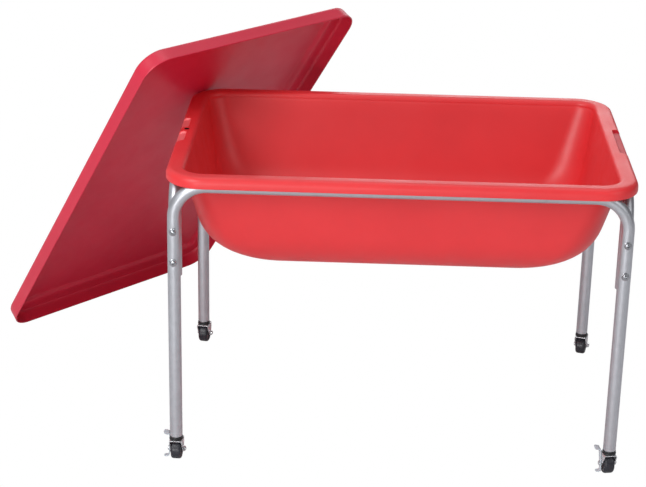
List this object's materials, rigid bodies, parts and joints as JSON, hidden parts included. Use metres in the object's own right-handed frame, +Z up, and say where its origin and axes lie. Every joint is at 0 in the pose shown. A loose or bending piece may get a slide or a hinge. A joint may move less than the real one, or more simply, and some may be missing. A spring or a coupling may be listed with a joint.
{
  "type": "sand and water table",
  "caption": "Rectangular moulded play basin in a bent-tube leg frame on swivel casters with toe brakes, floor drain and a lift-off lid.",
  "frame": {"origin": "on the floor, directly below the middle of the box that bounds the whole set with the lid leaning on it", "axes": "+X along the length of the basin, +Y from the braked casters towards the unbraked ones, +Z up"},
  "size_m": [1.3506, 1.0794, 0.7691],
  "materials": {
    "basin_plastic": "moulded, satin gloss",
    "lid_plastic": "moulded, satin gloss",
    "tube_paint": "silver powder coat",
    "zinc_plate": "bright zinc plate",
    "socket_plastic": "moulded black",
    "hub_plastic": "moulded black",
    "tread_rubber": "smooth dark grey tread",
    "drain_plastic": "moulded off-white",
    "seal_rubber": "black seal rubber"
  },
  "bodies": {
    "table": {"basin": "basin_plastic", "bolt_front_left_lower": "zinc_plate", "bolt_front_left_upper": "zinc_plate", "bolt_front_right_lower": "zinc_plate", "bolt_front_right_upper": "zinc_plate", "bolt_rear_left_lower": "zinc_plate", "bolt_rear_left_upper": "zinc_plate", "bolt_rear_right_lower": "zinc_plate", "bolt_rear_right_upper": "zinc_plate", "drain_fitting": "drain_plastic", "drain_gasket": "seal_rubber", "drain_locknut": "drain_plastic", "front_leg_frame": "tube_paint", "left_end_rail": "tube_paint", "nut_front_left_lower": "zinc_plate", "nut_front_left_upper": "zinc_plate", "nut_front_right_lower": "zinc_plate", "nut_front_right_upper": "zinc_plate", "nut_rear_left_lower": "zinc_plate", "nut_rear_left_upper": "zinc_plate", "nut_rear_right_lower": "zinc_plate", "nut_rear_right_upper": "zinc_plate", "rear_leg_frame": "tube_paint", "right_end_rail": "tube_paint", "socket_front_left": "socket_plastic", "socket_front_right": "socket_plastic", "socket_rear_left": "socket_plastic", "socket_rear_right": "socket_plastic", "stem_front_left": "zinc_plate", "stem_front_right": "zinc_plate", "stem_rear_left": "zinc_plate", "stem_rear_right": "zinc_plate"},
    "lid": {"lid": "lid_plastic"},
    "drain_plug": {"drain_plug": "seal_rubber"},
    "caster_front_left": {"fork_front_left": "zinc_plate", "axle_front_left": "zinc_plate", "axle_nut_front_left": "zinc_plate"},
    "wheel_front_left": {"hub_front_left": "hub_plastic", "tread_front_left": "tread_rubber"},
    "brake_front_left": {"brake_lever_front_left": "zinc_plate"},
    "caster_front_right": {"fork_front_right": "zinc_plate", "axle_front_right": "zinc_plate", "axle_nut_front_right": "zinc_plate"},
    "wheel_front_right": {"hub_front_right": "hub_plastic", "tread_front_right": "tread_rubber"},
    "brake_front_right": {"brake_lever_front_right": "zinc_plate"},
    "caster_rear_left": {"fork_rear_left": "zinc_plate", "axle_rear_left": "zinc_plate", "axle_nut_rear_left": "zinc_plate"},
    "wheel_rear_left": {"hub_rear_left": "hub_plastic", "tread_rear_left": "tread_rubber"},
    "caster_rear_right": {"fork_rear_right": "zinc_plate", "axle_rear_right": "zinc_plate", "axle_nut_rear_right": "zinc_plate"},
    "wheel_rear_right": {"hub_rear_right": "hub_plastic", "tread_rear_right": "tread_rubber"}
  },
  "joints": [
    {"name": "swivel_front_left", "type": "hinge", "parent": "table", "child": "caster_front_left", "pos_m": [-0.21546, -0.52121, 0.05], "axis": [0, 0, 1], "continuous": true},
    {"name": "wheel_front_left", "type": "hinge", "parent": "caster_front_left", "child": "wheel_front_left", "pos_m": [-0.21521, -0.51421, 0.021], "axis": [0.9994, -0.0349, 0], "continuous": true},
    {"name": "brake_front_left", "type": "hinge", "parent": "caster_front_left", "child": "brake_front_left", "pos_m": [-0.21521, -0.51421, 0.021], "axis": [0.9994, -0.0349, 0], "range_deg": [-12, 12]},
    {"name": "swivel_front_right", "type": "hinge", "parent": "table", "child": "caster_front_right", "pos_m": [0.65454, -0.52121, 0.05], "axis": [0, 0, 1], "continuous": true},
    {"name": "wheel_front_right", "type": "hinge", "parent": "caster_front_right", "child": "wheel_front_right", "pos_m": [0.65333, -0.51432, 0.021], "axis": [0.9848, 0.1736, 0], "continuous": true},
    {"name": "brake_front_right", "type": "hinge", "parent": "caster_front_right", "child": "brake_front_right", "pos_m": [0.65333, -0.51432, 0.021], "axis": [0.9848, 0.1736, 0], "range_deg": [-12, 12]},
    {"name": "swivel_rear_left", "type": "hinge", "parent": "table", "child": "caster_rear_left", "pos_m": [-0.21546, 0.04779, 0.05], "axis": [0, 0, 1], "continuous": true},
    {"name": "wheel_rear_left", "type": "hinge", "parent": "caster_rear_left", "child": "wheel_rear_left", "pos_m": [-0.21436, 0.0547, 0.021], "axis": [0.9877, -0.1564, 0], "continuous": true},
    {"name": "swivel_rear_right", "type": "hinge", "parent": "table", "child": "caster_rear_right", "pos_m": [0.65454, 0.04779, 0.05], "axis": [0, 0, 1], "continuous": true},
    {"name": "wheel_rear_right", "type": "hinge", "parent": "caster_rear_right", "child": "wheel_rear_right", "pos_m": [0.65636, 0.05455, 0.021], "axis": [0.9659, -0.2588, 0], "continuous": true},
    {"name": "drain_plug_lift", "type": "slide", "parent": "table", "child": "drain_plug", "axis": [0, 0, 1], "range_m": [0, 0.12]},
    {"name": "lid_lift", "type": "slide", "parent": "table", "child": "lid", "axis": [-0.6101, 0.5492, 0.5711], "range_m": [0, 0.35]}
  ]
}
